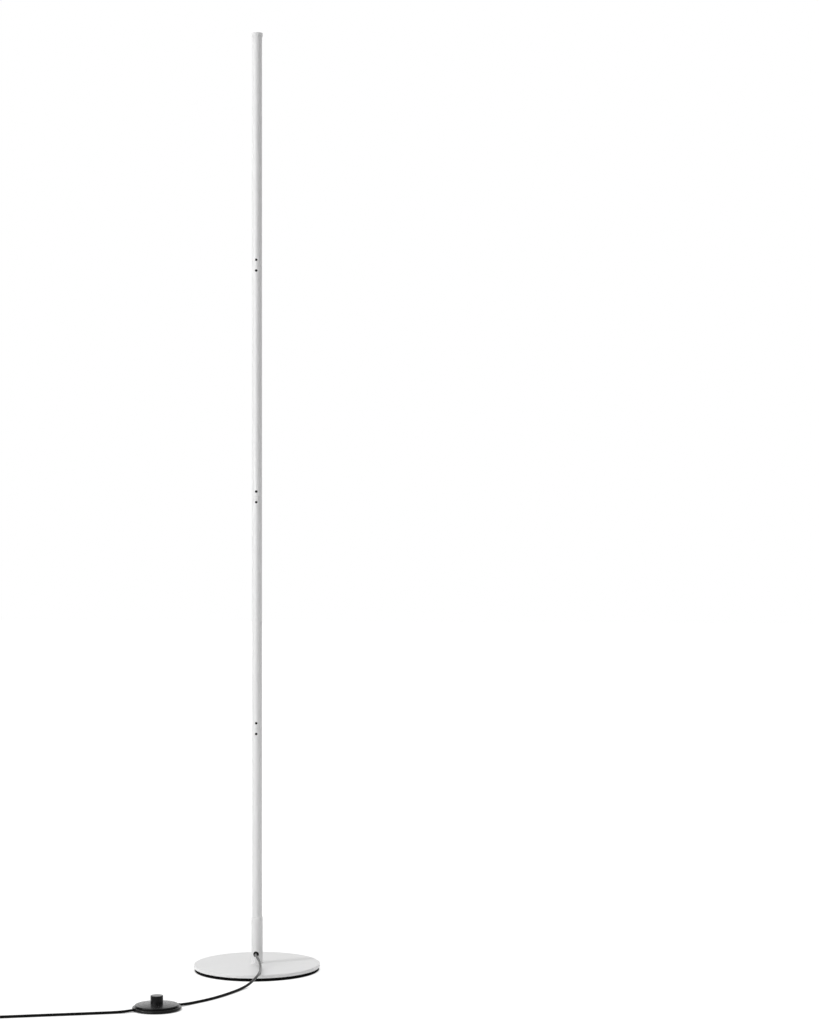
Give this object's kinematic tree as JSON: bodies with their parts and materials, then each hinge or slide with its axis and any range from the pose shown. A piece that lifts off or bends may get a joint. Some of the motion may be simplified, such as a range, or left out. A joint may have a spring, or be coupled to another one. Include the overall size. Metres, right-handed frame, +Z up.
{
  "type": "corner floor lamp",
  "caption": "Slim round pole lamp on a disc foot, with a strip of lights behind an opal lens along one side, a foot switch and a plug-in supply on its cord.",
  "frame": {"origin": "on the floor under the centre of the disc foot, which is also the pole's axis", "axes": "+Z up along the pole; +Y is the side of the lights, which faces the room's corner; -Y is the side of the joint screws and of the cord; +X is to the right for someone who looks at the screws"},
  "size_m": [0.4957, 0.5189, 1.49],
  "materials": {
    "pad_rubber": "matte",
    "coated_steel": "satin",
    "coated_aluminium": "satin",
    "opal_lens": "satin",
    "light_strip": "matte",
    "led": "gloss",
    "wire": "satin",
    "bar_aluminium": "satin",
    "connector": "satin",
    "black_screw": "satin",
    "steel": "satin",
    "guide_plastic": "satin",
    "grommet_rubber": "satin",
    "cord_sheath": "satin",
    "tie": "satin",
    "switch_shell": "satin",
    "circuit_board": "satin",
    "latch_plastic": "satin",
    "plunger_plastic": "satin",
    "supply_shell": "satin",
    "transformer": "satin",
    "capacitor": "satin",
    "blade": "satin"
  },
  "bodies": {
    "lamp": {"base_pad": "pad_rubber", "base_plate": "coated_steel", "base_washer": "steel", "base_bolt": "steel", "base_socket": "coated_steel", "cord_guide": "guide_plastic", "cord_grommet": "grommet_rubber", "cord_end": "cord_sheath", "tube_1": "coated_aluminium", "tube_2": "coated_aluminium", "tube_3": "coated_aluminium", "tube_4": "coated_aluminium", "lens_1": "opal_lens", "lens_2": "opal_lens", "lens_3": "opal_lens", "lens_4": "opal_lens", "light_strip_1": "light_strip", "light_strip_2": "light_strip", "light_strip_3": "light_strip", "light_strip_4": "light_strip", "lights_1": "led", "lights_2": "led", "lights_3": "led", "lights_4": "led", "wires_1": "wire", "wires_2": "wire", "wires_3": "wire", "wires_4": "wire", "joint_bar_1": "bar_aluminium", "joint_bar_2": "bar_aluminium", "joint_bar_3": "bar_aluminium", "joint_plugs": "connector", "joint_sockets": "connector", "joint_screws": "black_screw", "top_cap": "coated_aluminium", "switch_mat": "pad_rubber", "switch_base": "switch_shell", "switch_cover": "switch_shell", "switch_screws": "steel", "switch_board": "circuit_board", "switch_latch": "latch_plastic", "button_spring": "steel", "switch_cord_ends": "cord_sheath", "switch_wires": "wire", "cord_to_switch": "cord_sheath", "cord_to_coil": "cord_sheath", "cord_coil": "cord_sheath", "coil_tie": "tie", "supply_front": "supply_shell", "supply_back": "supply_shell", "supply_board": "circuit_board", "supply_transformer": "transformer", "supply_capacitors": "capacitor", "supply_relief": "supply_shell", "plug_blades": "blade"},
    "button": {"foot_button": "switch_shell", "latch_plunger": "plunger_plastic"}
  },
  "joints": [
    {"name": "button_press", "type": "slide", "parent": "lamp", "child": "button", "axis": [0, 0, -1], "range_m": [0, 0.0025], "stiffness_N_per_m": 1500, "springref_m": -0.003, "deforming": ["button_spring"]}
  ]
}
